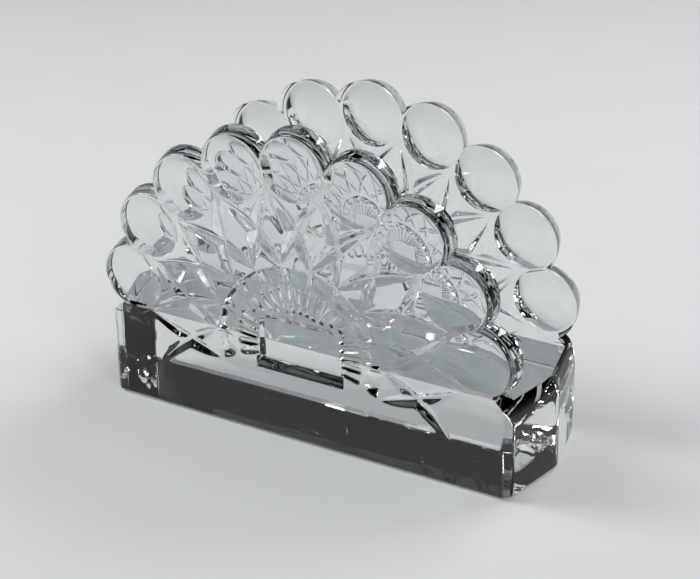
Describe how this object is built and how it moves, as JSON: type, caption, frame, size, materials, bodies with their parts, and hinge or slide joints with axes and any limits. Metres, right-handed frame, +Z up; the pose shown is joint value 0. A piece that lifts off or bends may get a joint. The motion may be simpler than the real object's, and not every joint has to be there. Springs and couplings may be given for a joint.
{
  "type": "napkin holder",
  "caption": "Clear cut-glass napkin holder: scalloped fans stand face to face on a solid glass block, with an open slot between them for paper napkins on edge.",
  "frame": {"origin": "centre of the block's underside, on the table", "axes": "+X along the napkin slot, +Z up, -Y the front, which is the same as the rear"},
  "size_m": [0.1636, 0.0568, 0.1135],
  "materials": {
    "clear_glass": "clear, polished"
  },
  "bodies": {
    "root": {"base": "clear_glass", "front_fan": "clear_glass", "rear_fan": "clear_glass"}
  },
  "joints": []
}
